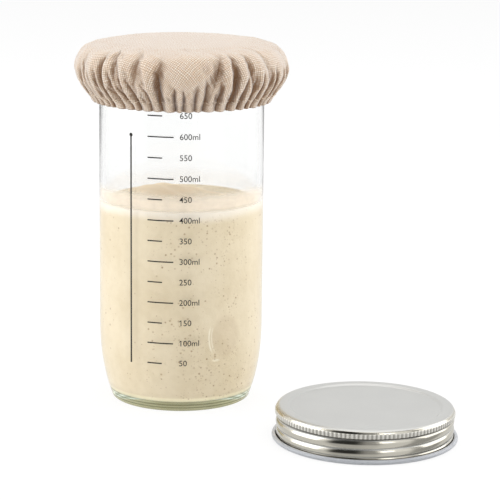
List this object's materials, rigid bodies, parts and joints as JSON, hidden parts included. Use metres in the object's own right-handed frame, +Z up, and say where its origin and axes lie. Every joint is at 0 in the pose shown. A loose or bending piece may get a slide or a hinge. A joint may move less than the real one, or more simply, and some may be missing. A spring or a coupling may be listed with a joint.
{
  "type": "sourdough starter jar",
  "caption": "Straight glass jar with a printed volume scale, filled with sourdough starter, with an elasticated cloth cover and its steel screw lid lying beside it.",
  "frame": {"origin": "centre of the jar's foot ring, on the plane that the jar stands on", "axes": "+Z up along the jar's axis, -Y towards the printed front, +X to the right as seen from the front"},
  "size_m": [0.192, 0.1745, 0.1841],
  "materials": {
    "jar_glass": "clear soda-lime glass, faintly green in the thick base",
    "scale_ink": "fired dark enamel print",
    "starter_dough": "wet cream-coloured batter with small bubbles",
    "cover_linen": "natural undyed linen and cotton cloth",
    "elastic_band": "woven elastic band",
    "sewing_thread": "spun sewing thread in the cloth's colour",
    "tinned_steel": "satin tinned steel, white enamel inside",
    "liner_compound": "soft white sealing compound"
  },
  "bodies": {
    "jar": {"glass_jar": "jar_glass", "scale_print": "scale_ink", "sourdough_starter": "starter_dough"},
    "cover": {"cover_cloth": "cover_linen", "cover_elastic": "elastic_band", "hem_stitching": "sewing_thread"},
    "lid": {"lid_shell": "tinned_steel", "lid_liner": "liner_compound"}
  },
  "joints": [
    {"name": "cover_lift", "type": "slide", "parent": "jar", "child": "cover", "axis": [0, 0, 1], "range_m": [0, 0.1]},
    {"name": "lid_lift", "type": "slide", "parent": "jar", "child": "lid", "axis": [0, 0, 1], "range_m": [0, 0.2]}
  ]
}
